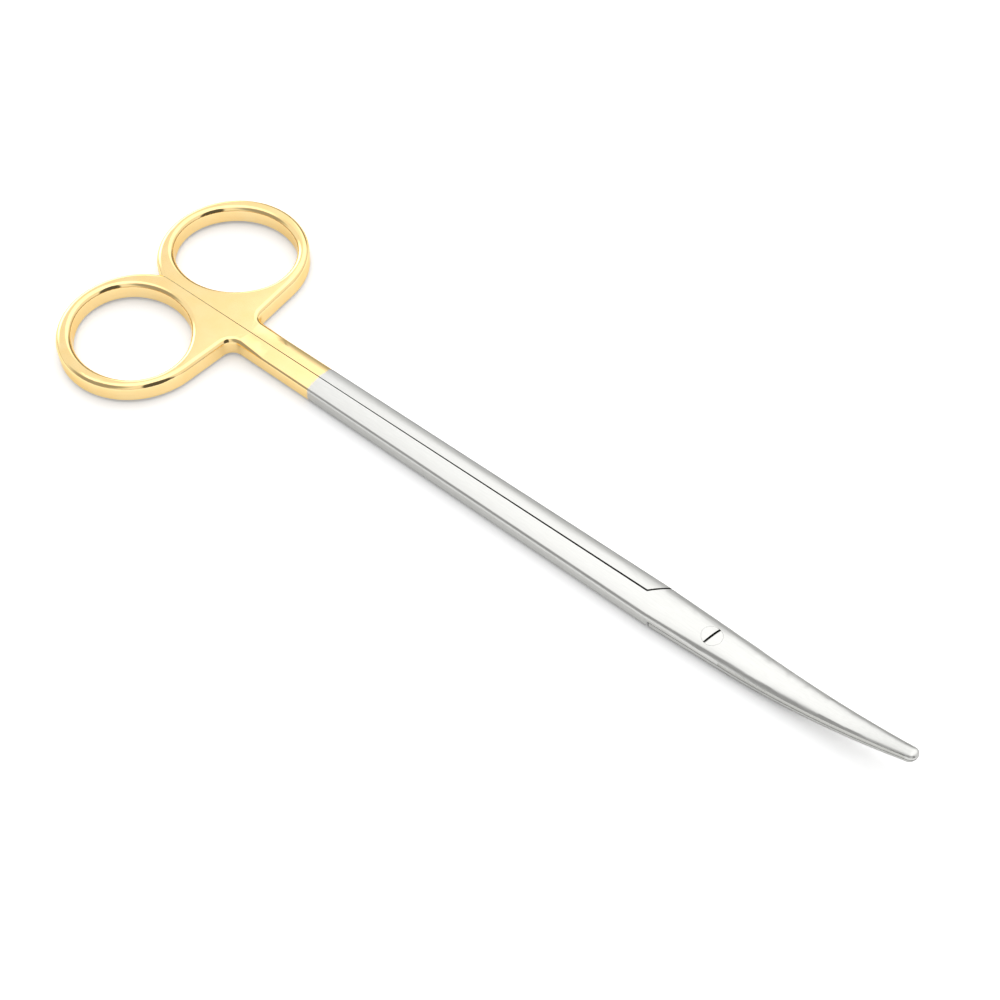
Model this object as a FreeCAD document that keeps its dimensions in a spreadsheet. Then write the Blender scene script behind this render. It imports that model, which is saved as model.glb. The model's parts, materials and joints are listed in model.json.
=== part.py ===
"""Dissecting scissors, 180 mm long, blades curved upward, gold-plated finger rings.

Millimetres. +X points from the finger rings to the tips, +Z up. The closed scissors lie on
their underside at Z = 0, and the origin is at the middle of the length and width.

Two forged halves lie side by side as shanks and cross at a lap joint, where each is half as
thick. Both are cut from one shape, the closed pair, by the gap between the shanks, two
oblique shoulders and a parting face that follows the curve of the blades.
"""

import FreeCAD, Part
import math
import os
import Sketcher

doc = FreeCAD.newDocument("dissecting_scissors")

# Driving dimensions

SIZES = {
    # the whole
    "overall_length": 180.0,
    "plate_thickness": 4.2,
    # finger rings: round outside, with an oval hole set outward and turned away from the shank
    "ring_outer_radius": 15.05,
    "ring_past_middle": 1.65,
    "ring_band_width": 2.6,
    "hole_out_of_round": 1.3,
    "hole_turn": 16.0,
    "hole_rearward": 0.15,
    "hole_outward": 0.8,
    "ring_rounding": 1.1,
    "ring_underside_bevel": 0.75,
    "web_lean": 4.0,
    "web_corner_radius": 2.2,
    # shanks, as the closed pair, which runs a little toward -Y on its way to the joint
    "shank_width_at_web": 6.9,
    "shank_width_at_joint": 7.7,
    "joint_aside": 0.42,
    "shank_flat_length": 6.0,
    "shank_corner_radius": 0.7,
    "crown_slope": 22.0,
    "underside_slope": 10.0,
    "gap_at_rings": 0.04,
    "gap_at_joint": 0.36,
    "gap_aside_at_joint": 0.25,
    # lap joint, distances from the screw
    "widest_before_screw": 11.0,
    "joint_corner_radius": 0.9,
    "shoulder_before_screw": 13.2,
    "shoulder_slope": 51.0,
    "shoulder_gap": 0.16,
    "parting_gap": 0.12,
    # blades
    "blade_reach": 39.85,
    "blade_root_width": 6.75,
    "blade_tip_width": 2.6,
    "blade_belly": 0.12,
    "blade_tip_thickness": 2.2,
    "blade_root_corner_radius": 1.4,
    "blade_tip_corner_radius": 0.7,
    "curve_start": 7.0,
    "curve_radius": 120.0,
    "nose_length": 1.3,
    # carbide edges, brazed along the cutting edges
    "edge_start": 4.0,
    "edge_end_margin": 1.6,
    "edge_height": 0.7,
    "edge_root_width": 1.3,
    "edge_tip_width": 0.8,
    # joint screw
    "screw_forward": 0.6,
    "screw_aside": 0.3,
    "screw_shaft_diameter": 2.4,
    "screw_head_diameter": 3.75,
    "screw_head_height": 1.2,
    "screw_cone_height": 0.7,
    "screw_clearance": 0.03,
    "slot_width": 0.42,
    "slot_depth": 0.6,
    "slot_turn": 12.0,
}

sizes = doc.addObject("Spreadsheet::Sheet", "sizes")
for row, (alias, value) in enumerate(SIZES.items(), start=1):
    sizes.set(f"A{row}", alias)
    sizes.set(f"B{row}", str(value))
    sizes.setAlias(f"B{row}", alias)
doc.recompute()


def size(alias):
    """The expression for one cell of the sheet."""
    return f"sizes.{alias}"


def value_of(expression):
    """The number an expression stands for now."""
    result = sizes.evalExpression(expression)
    return float(getattr(result, "Value", result))


# Places worked out from the driving dimensions

THICK = size("plate_thickness")
HALF_THICK = f"({THICK} / 2)"
REAR_X = f"(-{size('overall_length')} / 2)"
TIP_X = f"({size('overall_length')} / 2)"
SCREW_X = f"({TIP_X} - {size('blade_reach')})"
PIVOT_X = f"({SCREW_X} + {size('screw_forward')})"
MIDDLE_Y = f"(-{size('joint_aside')})"
PIVOT_Y = f"({MIDDLE_Y} - {size('screw_aside')})"
WIDEST_X = f"({SCREW_X} - {size('widest_before_screw')})"
SHOULDER_X = f"({SCREW_X} - {size('shoulder_before_screw')})"
CURVE_X = f"({SCREW_X} + {size('curve_start')})"
NOSE_X = f"({TIP_X} - {size('nose_length')})"

RING_RADIUS = size("ring_outer_radius")
RING_X = f"({REAR_X} + {RING_RADIUS})"
RING_Y = f"({RING_RADIUS} - {size('ring_past_middle')})"
ROUNDING = f"min({size('ring_rounding')}; 0.44 * {size('ring_band_width')})"
HALF_SHANK = f"({size('shank_width_at_web')} / 2)"

# The web's edge leaves the ring's tip side, leans toward the tips and ends in a hollow corner
LEAN = size("web_lean")
HOLLOW = size("web_corner_radius")
WEB_TOP_X = f"({RING_X} + {RING_RADIUS} * cos({LEAN}))"
WEB_TOP_Y = f"({RING_Y} + {RING_RADIUS} * sin({LEAN}))"
WEB_END_Y = f"({HALF_SHANK} + {HOLLOW} * (1 - sin({LEAN})))"
WEB_END_X = f"({WEB_TOP_X} + ({WEB_TOP_Y} - {WEB_END_Y}) * tan({LEAN}))"
SHANK_X = f"({WEB_END_X} + {HOLLOW} * cos({LEAN}))"
CROWNED_X = f"({SHANK_X} + {size('shank_flat_length')})"

# Cutting solids reach this far past the part on every side
BEYOND = f"({size('overall_length')} / 4)"


def rise_at(x):
    """How far the blades' middle line has risen above the shanks' at x, along its arc."""
    run = f"({x} - {CURVE_X})"
    radius = size("curve_radius")
    return f"({radius} - sqrt({radius} ^ 2 - {run} ^ 2))"


# Sketches: each corner is placed by the sheet, and an arc also has its radius

FLAT = FreeCAD.Rotation()
UPRIGHT_LENGTHWISE = FreeCAD.Rotation(FreeCAD.Vector(1, 0, 0), 90)
UPRIGHT_CROSSWISE = FreeCAD.Rotation(FreeCAD.Vector(1, 1, 1), 120)


def arc_through(start, end, radius):
    """The shorter arc from start to end that turns left, as Sketcher wants it."""
    middle = (start + end) * 0.5
    chord = end - start
    half = chord.Length / 2
    left = FreeCAD.Vector(-chord.y, chord.x, 0).normalize()
    centre = middle + left * math.sqrt(max(radius * radius - half * half, 0))
    first = math.atan2(start.y - centre.y, start.x - centre.x)
    last = math.atan2(end.y - centre.y, end.x - centre.x)
    circle = Part.Circle(centre, FreeCAD.Vector(0, 0, 1), radius)
    return Part.ArcOfCircle(circle, first, last)


def place_point(sketch, geometry, point, name, x, y):
    """Ties one point of a sketch to two expressions."""
    for kind, axis, expression in (("DistanceX", "x", x), ("DistanceY", "y", y)):
        number = value_of(expression)
        index = sketch.addConstraint(Sketcher.Constraint(kind, -1, 1, geometry, point, number))
        sketch.renameConstraint(index, f"{name}_{axis}")
        sketch.setExpression(f"Constraints.{name}_{axis}", expression)


def draw_outline(sketch, corners, arcs=None):
    """A closed outline through corners, as (x, y) expressions.

    arcs holds the radius of each side that is an arc, by the number of the corner where
    the side starts. Outlines run counterclockwise, so such a side bulges outward, and
    inward where its radius starts with a minus sign.
    """
    arcs = arcs or {}
    points = [FreeCAD.Vector(value_of(x), value_of(y), 0) for x, y in corners]
    count = len(points)
    for number, start in enumerate(points):
        end = points[(number + 1) % count]
        if number not in arcs:
            sketch.addGeometry(Part.LineSegment(start, end))
        elif arcs[number].startswith("-"):
            sketch.addGeometry(arc_through(end, start, value_of(arcs[number][1:])))
        else:
            sketch.addGeometry(arc_through(start, end, value_of(arcs[number])))

    def ends_of(number):
        inward = number in arcs and arcs[number].startswith("-")
        return (2, 1) if inward else (1, 2)

    for number in range(count):
        following = (number + 1) % count
        last = ends_of(number)[1]
        first = ends_of(following)[0]
        sketch.addConstraint(Sketcher.Constraint("Coincident", number, last, following, first))
    for number, (x, y) in enumerate(corners):
        place_point(sketch, number, ends_of(number)[0], f"corner_{number}", x, y)
    for number, radius in arcs.items():
        expression = radius.lstrip("-")
        constraint = Sketcher.Constraint("Radius", number, value_of(expression))
        index = sketch.addConstraint(constraint)
        sketch.renameConstraint(index, f"radius_{number}")
        sketch.setExpression(f"Constraints.radius_{number}", expression)


def new_sketch(name, rotation, corners, arcs=None, x="0", y="0", z="0"):
    """A free sketch in the part's frame, at x, y and z."""
    sketch = doc.addObject("Sketcher::SketchObject", name)
    base = FreeCAD.Vector(value_of(x), value_of(y), value_of(z))
    sketch.Placement = FreeCAD.Placement(base, rotation)
    for axis, place in (("x", x), ("y", y), ("z", z)):
        sketch.setExpression(f"Placement.Base.{axis}", place)
    draw_outline(sketch, corners, arcs)
    return sketch


def extrude(name, sketch, forward, backward="0"):
    """A solid from a sketch, along its own normal."""
    solid = doc.addObject("Part::Extrusion", name)
    solid.Base = sketch
    solid.DirMode = "Normal"
    solid.Solid = True
    solid.setExpression("LengthFwd", forward)
    solid.setExpression("LengthRev", backward)
    return solid


def combine(kind, name, *shapes):
    """A Part::MultiFuse, Part::MultiCommon or Part::Cut of other objects."""
    result = doc.addObject(kind, name)
    if kind == "Part::Cut":
        result.Base, result.Tool = shapes
    else:
        result.Shapes = list(shapes)
    return result


# The closed pair: shanks, lap joint and blades as one smooth body

def section(name, x, half_width, height, corner, slopes, y="0", base="0"):
    """A cross-section: upright sides, round corners, crowned top and underside.

    slopes are how steep the crown is where it meets the corner, for the underside and the
    top. At "0" it is flat.
    """
    halves = []
    drops = []
    sides = []
    arcs = {1: corner, 3: corner, 5: corner, 7: corner}
    for first_corner, slope in zip((0, 4), slopes):
        crown_half = f"({half_width} - {corner} + {corner} * sin({slope}))"
        drop = "0"
        if slope != "0":
            crown_radius = f"({crown_half} / sin({slope}))"
            drop = f"({crown_radius} * (1 - cos({slope})))"
            arcs[first_corner] = crown_radius
        halves.append(crown_half)
        drops.append(drop)
        sides.append(f"({drop} + {corner} * cos({slope}))")
    corners = [
        (f"-{halves[0]}", drops[0]),
        (halves[0], drops[0]),
        (half_width, sides[0]),
        (half_width, f"{height} - {sides[1]}"),
        (halves[1], f"{height} - {drops[1]}"),
        (f"-{halves[1]}", f"{height} - {drops[1]}"),
        (f"-{half_width}", f"{height} - {sides[1]}"),
        (f"-{half_width}", sides[0]),
    ]
    return new_sketch(name, UPRIGHT_CROSSWISE, corners, arcs, x=x, y=y, z=base)


def loft(name, sections, ruled):
    solid = doc.addObject("Part::Loft", name)
    solid.Sections = sections
    solid.Solid = True
    solid.Ruled = ruled
    return solid


SHANK_CORNER = size("shank_corner_radius")
JOINT_CORNER = size("joint_corner_radius")
ROOT_CORNER = size("blade_root_corner_radius")
TIP_CORNER = size("blade_tip_corner_radius")
CROWN = (size("underside_slope"), size("crown_slope"))
HALF_JOINT = f"({size('shank_width_at_joint')} / 2)"
HALF_ROOT = f"({size('blade_root_width')} / 2)"
HALF_TIP = f"({size('blade_tip_width')} / 2)"
TIP_THICK = size("blade_tip_thickness")

web_section = section("web_section", SHANK_X, HALF_SHANK, THICK, ROUNDING, ("0", "0"))
shank_section = section("shank_section", CROWNED_X, HALF_SHANK, THICK, SHANK_CORNER, CROWN)
joint_section = section("joint_section", WIDEST_X, HALF_JOINT, THICK, JOINT_CORNER, CROWN,
                        MIDDLE_Y)
root_section = section("root_section", CURVE_X, HALF_ROOT, THICK, ROOT_CORNER, CROWN, MIDDLE_Y)
shank_loft = loft("shank_loft", [web_section, shank_section, joint_section, root_section], True)

# Blade sections, evenly spaced from the root to the nose
BLADE_STEPS = 6
blade_sections = [root_section]
for step in range(1, BLADE_STEPS + 1):
    part_way = step / BLADE_STEPS
    station = f"({CURVE_X} + ({NOSE_X} - {CURVE_X}) * {part_way})"
    belly = f"4 * {size('blade_belly')} * {part_way * (1 - part_way)}"
    half = f"({HALF_ROOT} + ({HALF_TIP} - {HALF_ROOT}) * {part_way} + {belly})"
    height = f"({THICK} + ({TIP_THICK} - {THICK}) * {part_way})"
    corner = f"({ROOT_CORNER} + ({TIP_CORNER} - {ROOT_CORNER}) * {part_way})"
    base = f"({HALF_THICK} + {rise_at(station)} - {height} / 2)"
    blade_sections.append(section(f"blade_section_{step}", station, half, height,
                                  corner, CROWN, MIDDLE_Y, base))
blade_loft = loft("blade_loft", blade_sections, False)

# The nose rounds off like a quarter of an oval, shrinking to a point that is almost sharp
NOSE_ANGLES = (30, 52, 70, 84)
NOSE_END = f"sin({NOSE_ANGLES[-1]})"
nose_sections = [blade_sections[-1]]
nose_slope = f"(({NOSE_X} - {CURVE_X}) / ({size('curve_radius')} - {rise_at(NOSE_X)}))"
for angle in NOSE_ANGLES:
    advance = f"({size('nose_length')} * sin({angle}) / {NOSE_END})"
    shrink = f"cos({angle})"
    height = f"({TIP_THICK} * {shrink})"
    base = f"({HALF_THICK} + {rise_at(NOSE_X)} + {advance} * {nose_slope} - {height} / 2)"
    nose_sections.append(
        section(f"nose_section_{angle}", f"({NOSE_X} + {advance})", f"({HALF_TIP} * {shrink})",
                height, f"({TIP_CORNER} * {shrink})", CROWN, MIDDLE_Y, base))
nose_loft = loft("nose_loft", nose_sections, False)

closed_pair = combine("Part::MultiFuse", "closed_pair", shank_loft, blade_loft, nose_loft)


# Finger ring and web of one half: side is -1 for the half whose ring is at -Y

def origin_plane(body, role):
    return next(item for item in body.Origin.OriginFeatures if item.Role == role)


def draw_plan(sketch, corners, arcs, side):
    """Draws an outline given for the +Y side, or its mirror image for the -Y side.

    A mirrored outline would run clockwise, so its corners are taken the other way round.
    """
    if side < 0:
        count = len(corners)
        corners = [corners[0]] + corners[:0:-1]
        arcs = {(count - 1 - number) % count: radius for number, radius in arcs.items()}
    draw_outline(sketch, corners, arcs)


def draw_bow(sketch, side):
    """The plan of ring and web.

    From the shank's end the outline follows the web's hollow corner and edge, goes round the
    ring and on to where the ring reaches farthest past the middle, and runs back from there.
    What is past the middle is cut off, so the two rings' rounded edges meet in a crease that
    fades out before the web.
    """
    past = f"{side} * ({RING_Y} - {RING_RADIUS})"
    corners = [
        (SHANK_X, f"{side} * {HALF_SHANK}"),
        (WEB_END_X, f"{side} * {WEB_END_Y}"),
        (WEB_TOP_X, f"{side} * {WEB_TOP_Y}"),
        (RING_X, f"{side} * ({RING_Y} + {RING_RADIUS})"),
        (REAR_X, f"{side} * {RING_Y}"),
        (RING_X, past),
        (SHANK_X, past),
    ]
    arcs = {0: f"-{HOLLOW}", 2: RING_RADIUS, 3: RING_RADIUS, 4: RING_RADIUS}
    draw_plan(sketch, corners, arcs, side)


def draw_hole(sketch, side):
    """The finger hole, an oval of four quarter turns.

    Tighter ones go round the ends of the long axis, their middles shift out from the
    oval's own, and wider ones lie between.
    """
    long_radius = f"({RING_RADIUS} - {size('ring_band_width')})"
    excess = size("hole_out_of_round")
    shift = f"({excess} * sqrt(0.5) / (sqrt(2) - 1))"
    tight = f"({long_radius} - {shift})"
    wide = f"({long_radius} - {excess} + {shift})"
    reach = f"({shift} + {tight} * sqrt(0.5))"
    rise = f"({tight} * sqrt(0.5))"
    turn = size("hole_turn")
    corners = []
    for along, across in ((reach, rise), (f"(-{reach})", rise),
                          (f"(-{reach})", f"(-{rise})"), (reach, f"(-{rise})")):
        x = f"({RING_X} - {size('hole_rearward')} + {along} * cos({turn}) - {across} * sin({turn}))"
        y = f"({RING_Y} + {size('hole_outward')} + {along} * sin({turn}) + {across} * cos({turn}))"
        corners.append((x, f"{side} * {y}"))
    draw_plan(sketch, corners, {0: wide, 1: tight, 2: wide, 3: tight}, side)


def make_bow(name, side):
    """Ring and web: a plate, rounded above and bevelled below, left sharp at the shank."""
    body = doc.addObject("PartDesign::Body", name)

    def plan_sketch(label):
        sketch = body.newObject("Sketcher::SketchObject", label)
        sketch.AttachmentSupport = (origin_plane(body, "XY_Plane"), [""])
        sketch.MapMode = "FlatFace"
        return sketch

    plan = plan_sketch(f"{name}_plan")
    draw_bow(plan, side)
    plate = body.newObject("PartDesign::Pad", f"{name}_plate")
    plate.Profile = plan
    plate.setExpression("Length", THICK)
    hole_plan = plan_sketch(f"{name}_hole_plan")
    draw_hole(hole_plan, side)
    hole = body.newObject("PartDesign::Pocket", f"{name}_finger_hole")
    hole.Profile = hole_plan
    hole.Type = "ThroughAll"
    hole.Reversed = True
    doc.recompute()
    if hole.Shape.Volume > plate.Shape.Volume - 1:
        raise RuntimeError(f"the finger hole of {name} cuts nothing")

    shank_x = value_of(SHANK_X)
    near = 1e-3

    def outer_edges(shape, z):
        """The edges at height z, but for those at the shank."""
        found = []
        for number, edge in enumerate(shape.Edges, start=1):
            box = edge.BoundBox
            at_shank = box.XMin > shank_x - near
            if abs(box.ZMin - z) + abs(box.ZMax - z) < near and not at_shank:
                found.append(f"Edge{number}")
        return found

    rounding = body.newObject("PartDesign::Fillet", f"{name}_rounding")
    rounding.Base = (hole, outer_edges(hole.Shape, value_of(THICK)))
    rounding.setExpression("Radius", ROUNDING)
    doc.recompute()
    bevel = body.newObject("PartDesign::Chamfer", f"{name}_underside_bevel")
    bevel.Base = (rounding, outer_edges(rounding.Shape, 0))
    bevel.setExpression("Size", size("ring_underside_bevel"))
    body.Tip = bevel
    return body


# What each half keeps of the closed pair

def shoulder_end(start_x):
    """x of a shoulder line that starts at the middle, BEYOND to the side."""
    return f"({start_x} + {BEYOND} / tan({size('shoulder_slope')}))"


def layer_profile(name, side_of_parting):
    """The space above (+1) or below (-1) the parting face, seen from the side."""
    shift = f"{side_of_parting} * {size('parting_gap')} / 2"
    radius = f"({size('curve_radius')} - {shift})"
    end_angle = f"asin(({TIP_X} - {CURVE_X} + {size('nose_length')}) / {size('curve_radius')})"
    end_x = f"({CURVE_X} + {radius} * sin({end_angle}))"
    end_z = f"({HALF_THICK} + {size('curve_radius')} - {radius} * cos({end_angle}))"
    flat_z = f"({HALF_THICK} + {shift})"
    back_x = f"({SHOULDER_X} - {THICK})"
    outer_z = f"({HALF_THICK} + {side_of_parting} * {BEYOND})"
    if side_of_parting > 0:
        corners = [(back_x, flat_z), (CURVE_X, flat_z), (end_x, end_z),
                   (end_x, outer_z), (back_x, outer_z)]
        arcs = {1: radius}
    else:
        corners = [(back_x, outer_z), (end_x, outer_z), (end_x, end_z),
                   (CURVE_X, flat_z), (back_x, flat_z)]
        arcs = {2: f"-{radius}"}
    return new_sketch(name, UPRIGHT_LENGTHWISE, corners, arcs)


def make_half_space(name, side, side_of_parting):
    """Shank side at full height, and everything past the shoulder on its own layer."""
    rear = f"({REAR_X} - {THICK})"
    front = f"({TIP_X} + {BEYOND})"
    inner_rear = f"{side} * {size('gap_at_rings')} / 2"
    inner_joint = f"{side} * {size('gap_at_joint')} / 2 - {size('gap_aside_at_joint')}"
    own = f"{side} * {BEYOND}"
    other = f"-({side} * {BEYOND})"
    shank_end = f"({SHOULDER_X} - {size('shoulder_gap')})"
    shank_plan = [(rear, inner_rear), (shank_end, inner_joint),
                  (shoulder_end(shank_end), own), (rear, own)]
    plate_plan = [(shank_end, inner_joint), (SHOULDER_X, inner_joint),
                  (shoulder_end(SHOULDER_X), other), (front, other), (front, own),
                  (shank_end, own)]
    if side < 0:
        shank_plan.reverse()
        plate_plan.reverse()
    shank_sketch = new_sketch(f"{name}_shank_plan", FLAT, shank_plan)
    plate_sketch = new_sketch(f"{name}_plate_plan", FLAT, plate_plan)
    shank_block = extrude(f"{name}_shank_block", shank_sketch, BEYOND, BEYOND)
    plate_block = extrude(f"{name}_plate_block", plate_sketch, BEYOND, BEYOND)
    layer_sketch = layer_profile(f"{name}_layer_profile", side_of_parting)
    layer_block = extrude(f"{name}_layer_block", layer_sketch, BEYOND, BEYOND)
    plate = combine("Part::MultiCommon", f"{name}_plate_space", plate_block, layer_block)
    return combine("Part::MultiFuse", f"{name}_space", shank_block, plate)


# Carbide edge of one blade: a strip at its cutting edge, against the parting face

def make_edge_space(name, side, side_of_parting):
    """The strip's space. side is the side of the blade that carries the cutting edge."""
    start = f"({SCREW_X} + {size('edge_start')})"
    end = f"({TIP_X} - {size('edge_end_margin')})"
    out = f"{side} * {BEYOND}"
    root = f"{MIDDLE_Y} + {side} * ({HALF_ROOT} - {size('edge_root_width')})"
    tip = f"{MIDDLE_Y} + {side} * ({HALF_TIP} - {size('edge_tip_width')})"
    plan = [(start, root), (end, tip), (end, out), (start, out)]
    if side < 0:
        plan.reverse()
    plan_block = extrude(f"{name}_plan_block", new_sketch(f"{name}_plan", FLAT, plan),
                         BEYOND, BEYOND)

    parting_shift = f"({side_of_parting} * {size('parting_gap')} / 2)"
    back_shift = f"({parting_shift} + {side_of_parting} * {size('edge_height')})"
    angle = f"asin(({end} - {CURVE_X}) / {size('curve_radius')})"

    def arc_point(shift):
        radius = f"({size('curve_radius')} - {shift})"
        return (f"({CURVE_X} + {radius} * sin({angle}))",
                f"({HALF_THICK} + {size('curve_radius')} - {radius} * cos({angle}))")

    lower, upper = parting_shift, back_shift
    if side_of_parting < 0:
        lower, upper = back_shift, parting_shift
    corners = [(start, f"({HALF_THICK} + {lower})"), (CURVE_X, f"({HALF_THICK} + {lower})"),
               arc_point(lower), arc_point(upper),
               (CURVE_X, f"({HALF_THICK} + {upper})"), (start, f"({HALF_THICK} + {upper})")]
    arcs = {1: f"({size('curve_radius')} - {lower})", 3: f"-({size('curve_radius')} - {upper})"}
    band = extrude(f"{name}_band", new_sketch(f"{name}_profile", UPRIGHT_LENGTHWISE,
                                              corners, arcs), BEYOND, BEYOND)
    return combine("Part::MultiCommon", f"{name}_space", plan_block, band)


# Joint screw: threaded end in the lower half, slotted head sunk in the upper half

def turned_solid(name, profile):
    """A solid of revolution about the joint's axis, from (radius, height) corners."""
    sketch = new_sketch(f"{name}_profile", UPRIGHT_LENGTHWISE, profile, x=PIVOT_X)
    sketch.Placement.Base.y = value_of(PIVOT_Y)
    sketch.setExpression("Placement.Base.y", PIVOT_Y)
    solid = doc.addObject("Part::Revolution", name)
    solid.Source = sketch
    solid.Axis = FreeCAD.Vector(0, 0, 1)
    solid.Solid = True
    solid.setExpression("Base.x", PIVOT_X)
    solid.setExpression("Base.y", PIVOT_Y)
    return solid


def screw_profile(shaft_radius, head_radius, drop):
    """Corners of the screw's half profile, with its head lowered by drop."""
    head_z = f"({THICK} - {size('screw_head_height')} - {drop})"
    rim_z = f"({head_z} + {size('screw_cone_height')})"
    return [("0", f"-{THICK}"), (shaft_radius, f"-{THICK}"), (shaft_radius, head_z),
            (head_radius, rim_z), (head_radius, f"2 * {THICK}"), ("0", f"2 * {THICK}")]


SHAFT_RADIUS = f"({size('screw_shaft_diameter')} / 2)"
HEAD_RADIUS = f"({size('screw_head_diameter')} / 2)"
CLEAR = size("screw_clearance")

screw_blank = turned_solid("screw_blank", screw_profile(SHAFT_RADIUS, HEAD_RADIUS, "0"))
screw_bore = turned_solid(
    "screw_bore",
    screw_profile(f"({SHAFT_RADIUS} + {CLEAR})", f"({HEAD_RADIUS} + {CLEAR})", CLEAR))

slot_cutter = doc.addObject("Part::Box", "slot_cutter")
slot_cutter.setExpression("Length", size("slot_width"))
slot_cutter.setExpression("Width", f"2 * {size('screw_head_diameter')}")
slot_cutter.setExpression("Height", THICK)
slot_turn = f"(-{size('slot_turn')})"
slot_cutter.Placement.Rotation = FreeCAD.Rotation(FreeCAD.Vector(0, 0, 1), value_of(slot_turn))
slot_cutter.setExpression("Placement.Rotation.Angle", f"{slot_turn} * 1 deg")
slot_cutter.setExpression(
    "Placement.Base.x",
    f"{PIVOT_X} - {size('slot_width')} / 2 * cos({slot_turn})"
    f" + {size('screw_head_diameter')} * sin({slot_turn})")
slot_cutter.setExpression(
    "Placement.Base.y",
    f"{PIVOT_Y} - {size('slot_width')} / 2 * sin({slot_turn})"
    f" - {size('screw_head_diameter')} * cos({slot_turn})")
slot_cutter.setExpression("Placement.Base.z", f"{THICK} - {size('slot_depth')}")

slotted_screw = combine("Part::Cut", "slotted_screw", screw_blank, slot_cutter)
joint_screw = combine("Part::MultiCommon", "joint_screw", slotted_screw, closed_pair)


# The two halves and their carbide edges

def make_half(name, side, side_of_parting, hole):
    """One forged half and its brazed edge: ring and shank at side, cutting edge too."""
    bow = make_bow(f"{name}_bow", side)
    whole = combine("Part::MultiFuse", f"{name}_blank", closed_pair, bow)
    space = make_half_space(name, side, side_of_parting)
    forged = combine("Part::MultiCommon", f"{name}_forging", whole, space)
    edge_space = make_edge_space(f"{name}_edge", side, side_of_parting)
    ground = combine("Part::Cut", f"{name}_rebated", forged, edge_space)
    half = combine("Part::Cut", name, ground, hole)
    insert = combine("Part::MultiCommon", f"{name}_insert", forged, edge_space)
    return half, insert


upper_half, upper_insert = make_half("upper_half", -1, 1, screw_bore)
lower_half, lower_insert = make_half("lower_half", 1, -1, screw_blank)

NODES = {
    "upper_half": upper_half,
    "lower_half": lower_half,
    "upper_carbide_edge": upper_insert,
    "lower_carbide_edge": lower_insert,
    "joint_screw": joint_screw,
}
for node_name, node in NODES.items():
    node.Label = node_name

doc.recompute()

# Nothing is written unless the whole document is sound

for item in doc.Objects:
    if "Invalid" in item.State or "Error" in item.State:
        raise RuntimeError(f"{item.Name} failed: {item.State}")
for node_name, node in NODES.items():
    if node.Shape.isNull() or not node.Shape.isValid() or len(node.Shape.Solids) != 1:
        raise RuntimeError(f"{node_name} isn't one sound solid")

os.makedirs("parts", exist_ok=True)
for node_name, node in NODES.items():
    node.Shape.exportStep(os.path.join("parts", f"{node_name}.step"))
    box = node.Shape.optimalBoundingBox(False)
    print(f"{node_name}: {node.Shape.Volume:.1f} mm3, x {box.XMin:.2f} to {box.XMax:.2f}, "
          f"y {box.YMin:.2f} to {box.YMax:.2f}, z {box.ZMin:.2f} to {box.ZMax:.2f}")
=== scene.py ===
# %% [markdown]
# # Dissecting scissors
#
# Fine scissors, 180 mm long, with blades that curve upward and gold-plated finger rings.
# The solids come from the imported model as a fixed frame. This lesson gives them their
# finishes, and the light, floor and camera of the photograph. Lengths are in metres, with
# +X from the rings to the tips and +Z up.

# %% Load the frame
import bmesh
import bpy
import json
import math
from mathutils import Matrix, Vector


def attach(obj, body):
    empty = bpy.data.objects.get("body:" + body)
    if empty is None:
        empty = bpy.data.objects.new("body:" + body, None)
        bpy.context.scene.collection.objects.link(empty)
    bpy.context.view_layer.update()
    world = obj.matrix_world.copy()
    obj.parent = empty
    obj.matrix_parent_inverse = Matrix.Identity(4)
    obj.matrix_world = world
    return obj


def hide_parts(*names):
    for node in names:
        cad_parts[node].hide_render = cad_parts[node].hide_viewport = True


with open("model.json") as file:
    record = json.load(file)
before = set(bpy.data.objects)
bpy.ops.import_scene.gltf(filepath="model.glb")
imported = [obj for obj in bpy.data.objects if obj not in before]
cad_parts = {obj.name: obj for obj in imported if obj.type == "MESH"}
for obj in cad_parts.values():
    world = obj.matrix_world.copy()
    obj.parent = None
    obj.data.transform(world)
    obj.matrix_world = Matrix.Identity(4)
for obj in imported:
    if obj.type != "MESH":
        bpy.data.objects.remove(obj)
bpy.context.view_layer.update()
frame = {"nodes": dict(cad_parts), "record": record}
nodes = frame["nodes"]
MM = 0.001
print("pieces:", ", ".join(sorted(nodes)))

# %% [markdown]
# ## Colours and shader nodes
#
# Colours are written as the eye reads them on a screen, in sRGB hex, and Blender's sockets
# want linear light, so one function turns them. One more function adds a node: its
# settings are set first, and then each input is either given a number or linked. A
# material's long list of nodes then reads from top to bottom. A third function starts a
# material with nothing but its output.

# %% Colour, node and material
WHITE = [1, 1, 1, 1]


def linear(hex_colour):
    """An sRGB colour such as "F9D998" as linear red, green, blue and alpha."""
    channels = [int(hex_colour[i:i + 2], 16) / 255 for i in (0, 2, 4)]
    return [c / 12.92 if c <= 0.04045 else ((c + 0.055) / 1.055) ** 2.4
            for c in channels] + [1]


def add_node(tree, kind, settings=None, inputs=None):
    """Adds a shader node. Each input is a number, a colour or another node's output."""
    node = tree.nodes.new(kind)
    for name, value in (settings or {}).items():
        setattr(node, name, value)
    for name, value in (inputs or {}).items():
        if isinstance(value, bpy.types.NodeSocket):
            tree.links.new(value, node.inputs[name])
        else:
            node.inputs[name].default_value = value
    return node


def new_material(name):
    """A material with an empty node tree and its output."""
    material = bpy.data.materials.new(name)
    material.use_nodes = True
    material.node_tree.nodes.clear()
    output = material.node_tree.nodes.new("ShaderNodeOutputMaterial")
    return material, material.node_tree, output


print("linear F9D998:", [round(c, 3) for c in linear("F9D998")])

# %% [markdown]
# ## Camera
#
# The photograph looks down at the scissors from beside the tips, about 53 degrees above the
# table, with a lens that is a little long. The place was found by matching the rings, the
# joint and the tip to their places in the photograph, and it is written as where the
# camera stands and what it looks at. The camera has no roll: its track keeps Z up.

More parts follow.
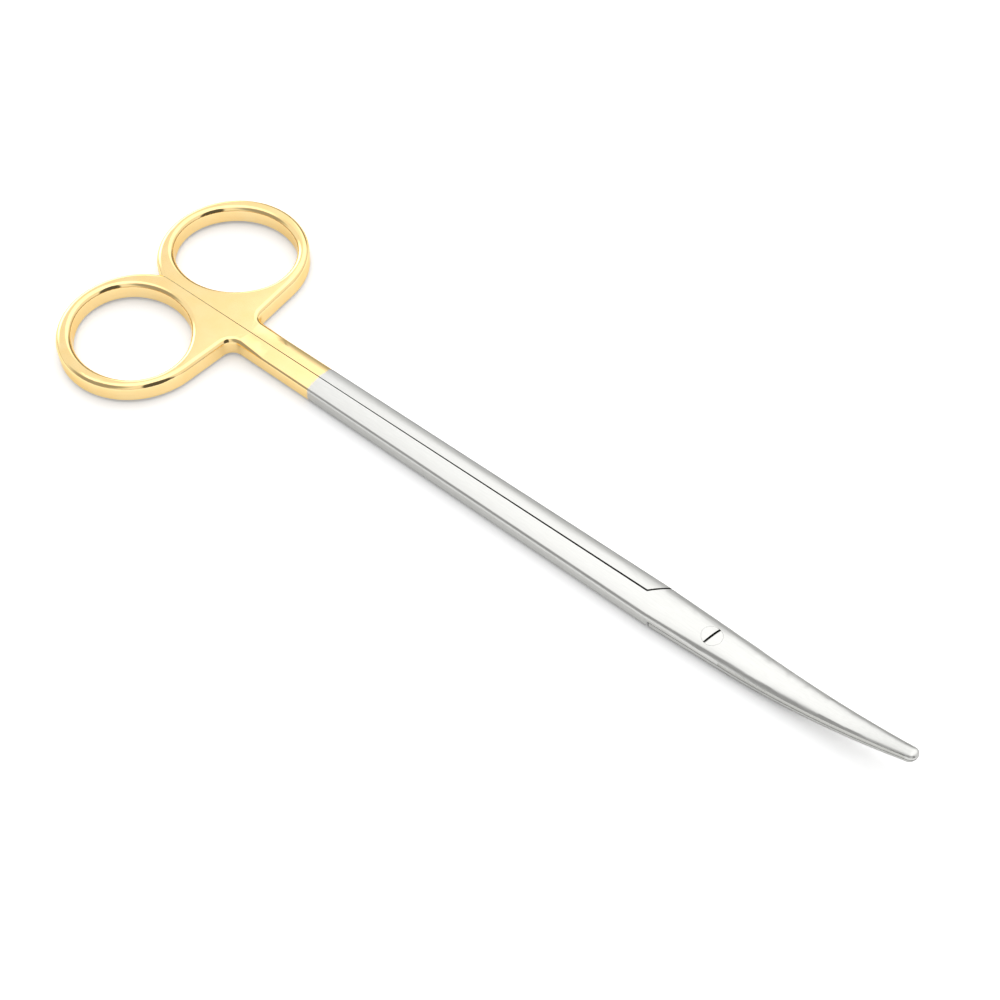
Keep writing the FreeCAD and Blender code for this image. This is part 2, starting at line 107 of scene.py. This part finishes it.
# %% Place the camera
CAMERA_AT = Vector((128.55, -152.0, 259.4)) * MM
LOOKS_AT = Vector((3.15, 1.35, 0.0)) * MM
LENS_MM = 65.3

camera = bpy.data.objects.new("camera", bpy.data.cameras.new("camera"))
camera.data.lens = LENS_MM
camera.location = CAMERA_AT
line_of_sight = LOOKS_AT - CAMERA_AT
camera.rotation_euler = line_of_sight.to_track_quat("-Z", "Y").to_euler()
bpy.context.scene.collection.objects.link(camera)
bpy.context.scene.camera = camera
down = math.degrees(math.asin(-line_of_sight.z / line_of_sight.length))
print(f"camera {line_of_sight.length / MM:.0f} mm away, looking down {down:.1f} degrees")

# %% [markdown]
# ## Floor
#
# The scissors lie on white paper. The floor is one large plane whose colour is almost
# white. To the camera, and in the metal's reflections, a faint white glow is added to it,
# so the page comes out white while the scissors still leave a tight, soft shadow.

# %% Make the floor
FLOOR_HALF = 2.0
FLOOR_COLOUR = linear("F6F6F6")
FLOOR_GLOW = 0.28

floor_mesh = bpy.data.meshes.new("paper_floor")
corners = [(-FLOOR_HALF, -FLOOR_HALF, 0), (FLOOR_HALF, -FLOOR_HALF, 0),
           (FLOOR_HALF, FLOOR_HALF, 0), (-FLOOR_HALF, FLOOR_HALF, 0)]
floor_mesh.from_pydata(corners, [], [(0, 1, 2, 3)])
floor = bpy.data.objects.new("paper_floor", floor_mesh)
bpy.context.scene.collection.objects.link(floor)

paper, tree, output = new_material("matt_white_paper")
path = add_node(tree, "ShaderNodeLightPath")
matt = add_node(tree, "ShaderNodeBsdfDiffuse", inputs={"Color": FLOOR_COLOUR})
seen = add_node(tree, "ShaderNodeMath", {"operation": "MAXIMUM"}, {
    0: path.outputs["Is Camera Ray"], 1: path.outputs["Is Glossy Ray"]}).outputs[0]
strength = add_node(tree, "ShaderNodeMath", {"operation": "MULTIPLY"},
                    {0: seen, 1: FLOOR_GLOW}).outputs[0]
glow = add_node(tree, "ShaderNodeEmission", inputs={"Strength": strength})
both = add_node(tree, "ShaderNodeAddShader", inputs={0: matt.outputs[0], 1: glow.outputs[0]})
tree.links.new(both.outputs[0], output.inputs["Surface"])
floor_mesh.materials.append(paper)
print(f"floor {2 * FLOOR_HALF:.0f} m wide, its glow {FLOOR_GLOW}")

# %% [markdown]
# ## Light
#
# Polished and satin metal show little but what surrounds them. The photograph's metal is
# nearly white on top and grey on its sides and rounded edges, and the gold has a few small
# dark patches, always on the same side. Lamps alone would leave hard spots on it, so the
# scissors lie in a light tent, and the world is that tent, described by directions.
#
# A patch of the tent has a middle and a reach. The middle is an angle from straight up
# toward the camera, and one more round the vertical, to the right as the camera sees it.
# The reach is two angles from the middle: the patch is whole within the first and gone
# beyond the second. All are in degrees.

# %% Directions and soft patches
def toward_camera(degrees, aside=0):
    """The direction this far from straight up, toward the camera, or away if negative."""
    level = Vector((-line_of_sight.x, -line_of_sight.y, 0)).normalized()
    right = Vector((-level.y, level.x, 0))
    tilt = math.radians(degrees)
    turn = math.radians(aside)
    flat = level * math.cos(turn) + right * math.sin(turn)
    return flat * math.sin(tilt) + Vector((0, 0, math.cos(tilt)))


def soft_step(tree, value, low, high, start=0.0, end=1.0):
    """start below low, end above high, and a smooth change between them."""
    return add_node(tree, "ShaderNodeMapRange", {"interpolation_type": "SMOOTHSTEP"}, {
        "Value": value, "From Min": low, "From Max": high,
        "To Min": start, "To Max": end}).outputs[0]


def near_direction(tree, way, middle, reach, start, end):
    """end within the first angle of a direction, and start beyond the second."""
    inner, outer = (math.cos(math.radians(angle)) for angle in reach)
    nearness = add_node(tree, "ShaderNodeVectorMath", {"operation": "DOT_PRODUCT"},
                        {0: way, 1: middle}).outputs["Value"]
    return soft_step(tree, nearness, outer, inner, start, end)


def multiplied(tree, *values):
    """The product of several outputs or numbers."""
    product = values[0]
    for value in values[1:]:
        product = add_node(tree, "ShaderNodeMath", {"operation": "MULTIPLY"},
                           {0: product, 1: value}).outputs[0]
    return product


print("camera seen toward", [round(c, 2) for c in toward_camera(90 - down)])

# %% [markdown]
# ## The tent's bright parts
#
# The tent is white all round. Its roof is brighter, where the top faces mirror it, but only
# over the steel: it fades out toward the rings, so the steel's tops are nearly white and
# the gold keeps its colour. A still brighter light stands low beyond the rings, and draws
# the white rims on their outer sides.

# %% Roof and side light
TENT_LEVEL = 1.02
ROOF_LEVEL = 1.68
ROOF_MIDDLE = -27
ROOF_REACH = (36, 54)
SIDE_LEVEL = 3.0
SIDE_MIDDLE = (76, -149)
SIDE_REACH = (12, 28)
# The roof is gone below the first X component of a direction and whole above the second
ROOF_END = (-0.60, -0.42)

world = bpy.data.worlds.new("light_tent")
bpy.context.scene.world = world
world.use_nodes = True
tree = world.node_tree
tree.nodes.clear()
way = add_node(tree, "ShaderNodeTexCoord").outputs["Generated"]
split = add_node(tree, "ShaderNodeSeparateXYZ", inputs={0: way}).outputs
overhead = near_direction(tree, way, toward_camera(ROOF_MIDDLE), ROOF_REACH, 0, 1)
roof = multiplied(tree, overhead, soft_step(tree, split["X"], *ROOF_END))
side = near_direction(tree, way, toward_camera(*SIDE_MIDDLE), SIDE_REACH, 0, 1)
tent = add_node(tree, "ShaderNodeMath", {"operation": "MULTIPLY_ADD"},
                {0: roof, 1: ROOF_LEVEL - TENT_LEVEL, 2: TENT_LEVEL}).outputs[0]
tent = add_node(tree, "ShaderNodeMath", {"operation": "MULTIPLY_ADD"},
                {0: side, 1: SIDE_LEVEL - TENT_LEVEL, 2: tent}).outputs[0]
print("side light from", [round(c, 2) for c in toward_camera(*SIDE_MIDDLE)])

# %% [markdown]
# ## The tent's dark parts
#
# Grey and brown bands need something dark to mirror, so some patches keep only a share of
# the light. A dim patch to the left of the camera greys the near walls, and a dark one low
# at the back greys the far edges. A tall, narrow gap to the right of the camera is nearly
# black and makes the dark arcs on the gold. It is measured on directions whose height is
# squeezed to a fifth, which makes it tall. The foot of the tent is a little greyer, except
# at the side light.

# %% Dark patches
DIM_SHARE = 0.4
DIM_MIDDLE = (55, -55)
DIM_REACH = (20, 42)
BACK_SHARE = 0.28
BACK_MIDDLE = (84, 165)
BACK_REACH = (10, 27)
GAP_SHARE = 0.11
GAP_MIDDLE = (52, 30)
GAP_SQUEEZE = (1.0, 1.0, 0.2)
GAP_REACH = (18, 24)
FOOT_SHARE = 0.7
# The foot is greyest below the first Z component of a direction and white above the second
FOOT_REACH = (0.03, 0.34)

dim = near_direction(tree, way, toward_camera(*DIM_MIDDLE), DIM_REACH, 1.0, DIM_SHARE)
back = near_direction(tree, way, toward_camera(*BACK_MIDDLE), BACK_REACH, 1.0, BACK_SHARE)
squeezed = add_node(tree, "ShaderNodeVectorMath", {"operation": "MULTIPLY"},
                    {0: way, 1: GAP_SQUEEZE}).outputs[0]
unit = add_node(tree, "ShaderNodeVectorMath", {"operation": "NORMALIZE"},
                {0: squeezed}).outputs[0]
gap_middle = (toward_camera(*GAP_MIDDLE) * Vector(GAP_SQUEEZE)).normalized()
gap = near_direction(tree, unit, gap_middle, GAP_REACH, 1.0, GAP_SHARE)
foot = soft_step(tree, split["Z"], *FOOT_REACH, FOOT_SHARE, 1.0)
foot = add_node(tree, "ShaderNodeMath", {"operation": "MAXIMUM"},
                {0: foot, 1: side}).outputs[0]
print("dark gap toward", [round(c, 2) for c in toward_camera(*GAP_MIDDLE)])

# %% [markdown]
# ## Close the tent
#
# All the parts multiply into the strength of one background. Matt surfaces, here only the
# paper, get a slightly smaller share of it, so that the page only just comes out white. The
# camera sees a plain white page in place of the tent.

# %% World and view
PAPER_SHARE = 0.94

path = add_node(tree, "ShaderNodeLightPath")
on_paper = soft_step(tree, path.outputs["Is Diffuse Ray"], 0.0, 1.0, 1.0, PAPER_SHARE)
inside = add_node(tree, "ShaderNodeBackground", inputs={
    "Color": WHITE, "Strength": multiplied(tree, tent, dim, back, gap, foot, on_paper)})
page = add_node(tree, "ShaderNodeBackground", inputs={"Color": WHITE, "Strength": 1.0})
choice = add_node(tree, "ShaderNodeMixShader", inputs={
    0: path.outputs["Is Camera Ray"], 1: inside.outputs[0], 2: page.outputs[0]})
add_node(tree, "ShaderNodeOutputWorld", inputs={"Surface": choice.outputs[0]})

bpy.context.scene.view_settings.view_transform = "Standard"
print("the tent has", len(tree.nodes), "nodes")

# %% [markdown]
# ## Patterns with a real size
#
# Brushed, ground and plated surfaces differ in the size and direction of their marks. Each
# pattern here is noise on Object coordinates, divided by the size of one mark along X, Y
# and Z, so its scale is written in real millimetres and stays on the piece as it moves.

# %% Pattern helpers
NOISE_DETAIL = 2.0
NOISE_RANGE = (0.3, 0.7)


def noise(tree, coordinates, size):
    """Soft random grey whose grains have this size along X, Y and Z."""
    grains = add_node(tree, "ShaderNodeMapping", inputs={
        "Vector": coordinates, "Scale": [1 / s for s in size]}).outputs[0]
    return add_node(tree, "ShaderNodeTexNoise", inputs={
        "Vector": grains, "Scale": 1.0, "Detail": NOISE_DETAIL}).outputs[0]


def spread(tree, value, low, high):
    """Turns the greys that noise mostly gives, NOISE_RANGE, into low to high."""
    return add_node(tree, "ShaderNodeMapRange", inputs={
        "Value": value, "From Min": NOISE_RANGE[0], "From Max": NOISE_RANGE[1],
        "To Min": low, "To Max": high}).outputs[0]


def mix_values(tree, share, first, second):
    return add_node(tree, "ShaderNodeMix", {"data_type": "FLOAT"}, {
        0: share, 2: first, 3: second}).outputs[0]


def mix_colours(tree, share, first, second):
    return add_node(tree, "ShaderNodeMix", {"data_type": "RGBA"}, {
        0: share, 6: first, 7: second}).outputs[2]


print("noise greys", NOISE_RANGE, "are spread to each finish's own range")

# %% [markdown]
# ## One metal shader
#
# Every finish here is bare, ground or plated metal, so one function builds the shader for
# them all. It also paints shade into the colour: where Ambient Occlusion finds little open
# space, in seams, the slot and along the line where the metal meets the table, the colour
# is darkened as painted shade.

# %% Metal with painted shade in its seams
# Painted shade in seams and along the table: how far it looks, its rays, its openness range
# and its darkest share
PAINTED_SHADE_REACH = 1.6 * MM
PAINTED_SHADE_RAYS = 8
PAINTED_SHADE_OPENNESS = (0.12, 0.75)
PAINTED_SHADE_SHARE = 0.05


def metal(tree, output, colour, roughness, edge, height, strength, depth):
    """A metal surface: edge is its colour where the line of sight grazes it."""
    # Painted shade: the colour is darkened where Ambient Occlusion finds little open space
    openness = add_node(tree, "ShaderNodeAmbientOcclusion", {"samples": PAINTED_SHADE_RAYS},
                        {"Distance": PAINTED_SHADE_REACH}).outputs["AO"]
    painted_shade_factor = soft_step(tree, openness, *PAINTED_SHADE_OPENNESS, PAINTED_SHADE_SHARE, 1.0)
    colour = add_node(tree, "ShaderNodeMix", {"data_type": "RGBA", "blend_type": "MULTIPLY"}, {
        0: 1.0, 6: colour, 7: painted_shade_factor}).outputs[2]
    bump = add_node(tree, "ShaderNodeBump", inputs={
        "Height": height, "Strength": strength, "Distance": depth})
    shader = add_node(tree, "ShaderNodeBsdfPrincipled", inputs={
        "Base Color": colour, "Metallic": 1.0, "Roughness": roughness,
        "Specular Tint": edge, "Normal": bump.outputs[0]})
    tree.links.new(shader.outputs[0], output.inputs["Surface"])


print("seams darken within", round(PAINTED_SHADE_REACH / MM, 1), "mm")

# %% [markdown]
# ## Satin stainless steel
#
# The halves are forged stainless steel, matt-brushed along their length, so fine streaks
# run lengthwise and catch the light as a soft satin. The real grit leaves scratches under
# 0.05 mm wide, too fine to show, so the streaks are drawn 0.14 mm wide.

# %% Satin steel
STREAK_WIDTH = 0.14 * MM
STREAK_LENGTH = 2.5 * MM
STREAK_DEPTH = 0.01 * MM
STREAK_BUMP = 0.15
SATIN_ROUGHNESS = (0.28, 0.34)
STEEL_DARK = linear("CBCBC8")
STEEL_LIGHT = linear("D3D3D0")
STEEL_EDGE = linear("8E8E8C")


def satin_steel(tree, here):
    """Colour, roughness and height of steel brushed along X."""
    streaks = noise(tree, here, (STREAK_LENGTH, STREAK_WIDTH, STREAK_WIDTH))
    colour = mix_colours(tree, spread(tree, streaks, 0, 1), STEEL_DARK, STEEL_LIGHT)
    return colour, spread(tree, streaks, *SATIN_ROUGHNESS), streaks


print("streaks", round(STREAK_WIDTH / MM, 2), "mm wide")

# %% [markdown]
# ## Gold-plated bows
#
# The bows were dipped in gold up to a line across the shanks, and the plating is polished,
# so the steel under it was too: its streaks almost vanish. The plating is a finish and not
# a piece, so one material makes steel and gold, and a mask on Object X changes the colour
# and gloss at the plating's edge, which is a little ragged.

# %% Steel that turns to gold
PLATING_EDGE_X = -39.35 * MM
PLATING_FADE = 0.5 * MM
RAGGED_GRAIN = 0.6 * MM
RAGGED_REACH = 0.15 * MM
BLOTCH = 4.0 * MM
POLISH_ROUGHNESS = (0.06, 0.09)
STREAKS_UNDER_GOLD = 0.08
GOLD_DARK = linear("F9D998")
GOLD_LIGHT = linear("F9DDA2")
GOLD_EDGE = linear("FFF0D0")

plated_halves, tree, output = new_material("satin_steel_with_gold_plated_bow")
here = add_node(tree, "ShaderNodeTexCoord").outputs["Object"]
steel, satin, streaks = satin_steel(tree, here)
blotches = noise(tree, here, (BLOTCH, BLOTCH, BLOTCH))
gold = mix_colours(tree, spread(tree, blotches, 0, 1), GOLD_DARK, GOLD_LIGHT)
polish = spread(tree, blotches, *POLISH_ROUGHNESS)

along = add_node(tree, "ShaderNodeSeparateXYZ", inputs={0: here}).outputs["X"]
ragged = spread(tree, noise(tree, here, (RAGGED_GRAIN, RAGGED_GRAIN, RAGGED_GRAIN)),
                -RAGGED_REACH, RAGGED_REACH)
edge = add_node(tree, "ShaderNodeMath", {"operation": "ADD"}, {0: along, 1: ragged}).outputs[0]
steel_share = soft_step(tree, edge, PLATING_EDGE_X - PLATING_FADE / 2,
                        PLATING_EDGE_X + PLATING_FADE / 2)
grooves = multiplied(tree, streaks, mix_values(tree, steel_share, STREAKS_UNDER_GOLD, 1.0))
metal(tree, output, mix_colours(tree, steel_share, gold, steel),
      mix_values(tree, steel_share, polish, satin),
      mix_colours(tree, steel_share, GOLD_EDGE, STEEL_EDGE),
      grooves, STREAK_BUMP, STREAK_DEPTH)
print("plating ends at X", round(PLATING_EDGE_X / MM, 1), "mm")

# %% [markdown]
# ## Ground tungsten carbide
#
# The cutting edges are thin strips of cemented carbide, brazed on and ground. Carbide is a
# darker, warmer grey than steel. A fine wheel leaves lines straight across the edge, about
# 0.02 mm apart in reality and drawn 0.12 mm apart here so that they show at all.

# %% Carbide
GRIND_SPACING = 0.12 * MM
GRIND_LENGTH = 2.0 * MM
GRIND_DEPTH = 0.006 * MM
GRIND_BUMP = 0.3
GROUND_ROUGHNESS = (0.2, 0.3)
CARBIDE_DARK = linear("B6B6B2")
CARBIDE_LIGHT = linear("C0C0BC")
CARBIDE_EDGE = linear("7E7E7C")

ground_carbide, tree, output = new_material("ground_carbide")
here = add_node(tree, "ShaderNodeTexCoord").outputs["Object"]
lines = noise(tree, here, (GRIND_SPACING, GRIND_LENGTH, GRIND_LENGTH))
colour = mix_colours(tree, spread(tree, lines, 0, 1), CARBIDE_DARK, CARBIDE_LIGHT)
metal(tree, output, colour, spread(tree, lines, *GROUND_ROUGHNESS), CARBIDE_EDGE,
      lines, GRIND_BUMP, GRIND_DEPTH)
print("grinding lines", round(GRIND_SPACING / MM, 2), "mm apart")

# %% [markdown]
# ## Screw steel
#
# The joint screw was driven home and then ground flush together with the halves, so its
# head carries the same satin, and only its slot and a hair of clearance show.

# %% Screw
flush_ground_steel, tree, output = new_material("flush_ground_steel")
here = add_node(tree, "ShaderNodeTexCoord").outputs["Object"]
colour, roughness, streaks = satin_steel(tree, here)
metal(tree, output, colour, roughness, STEEL_EDGE, streaks, STREAK_BUMP, STREAK_DEPTH)
print("the screw shares the halves' satin:", flush_ground_steel.name)

# %% [markdown]
# ## Dress the pieces
#
# The solids arrive as loose triangles, each face with its own shading, so polished metal
# would show a crease wherever two faces meet smoothly. A copy of each piece is merged into
# one skin. Edges sharper than 30 degrees stay sharp, and a Weighted Normal modifier lets
# the larger faces decide the shading, so that flats stay flat beside their fillets. The
# modifier's result becomes a plain mesh, and the copy takes the solid's place.

# %% Merge and smooth one piece
SHARP_ANGLE = 30
SAME_POINT = 0.0005 * MM


def smooth_skin(name, source):
    """A merged copy of a solid, shaded smoothly across its gentle edges."""
    mesh = source.data.copy()
    mesh.transform(source.matrix_world)
    edit = bmesh.new()
    edit.from_mesh(mesh)
    bmesh.ops.remove_doubles(edit, verts=edit.verts, dist=SAME_POINT)
    for edge in edit.edges:
        edge.smooth = edge.calc_face_angle(math.pi) < math.radians(SHARP_ANGLE)
    for face in edit.faces:
        face.smooth = True
    edit.to_mesh(mesh)
    edit.free()
    if "custom_normal" in mesh.attributes:
        mesh.attributes.remove(mesh.attributes["custom_normal"])
    skin = bpy.data.objects.new(name, mesh)
    bpy.context.scene.collection.objects.link(skin)
    weighting = skin.modifiers.new("flats_first", "WEIGHTED_NORMAL")
    weighting.keep_sharp = True
    evaluated = skin.evaluated_get(bpy.context.evaluated_depsgraph_get())
    skin.data = bpy.data.meshes.new_from_object(evaluated)
    skin.modifiers.clear()
    return skin


print("edges sharper than", SHARP_ANGLE, "degrees stay sharp")

# %% [markdown]
# ## Finish each piece
#
# Each copy gets its finish from the table below, and takes its body from the record of the
# imported model, so it moves with the solid that it stands for.

# %% Replace the solids
FINISHES = {
    "upper_half": plated_halves,
    "lower_half": plated_halves,
    "upper_carbide_edge": ground_carbide,
    "lower_carbide_edge": ground_carbide,
    "joint_screw": flush_ground_steel,
}
record = frame["record"]
body_of = {node: body for body, members in record["behaviour"]["bodies"].items()
           for node in members}

for name, material in FINISHES.items():
    skin = smooth_skin(f"{name}_skin", nodes[name])
    skin.data.materials.clear()
    skin.data.materials.append(material)
    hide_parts(name)
    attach(skin, body_of[name])
    print(f"{name}: {material.name}, {len(skin.data.vertices)} points, "
          f"{len(skin.data.polygons)} faces")
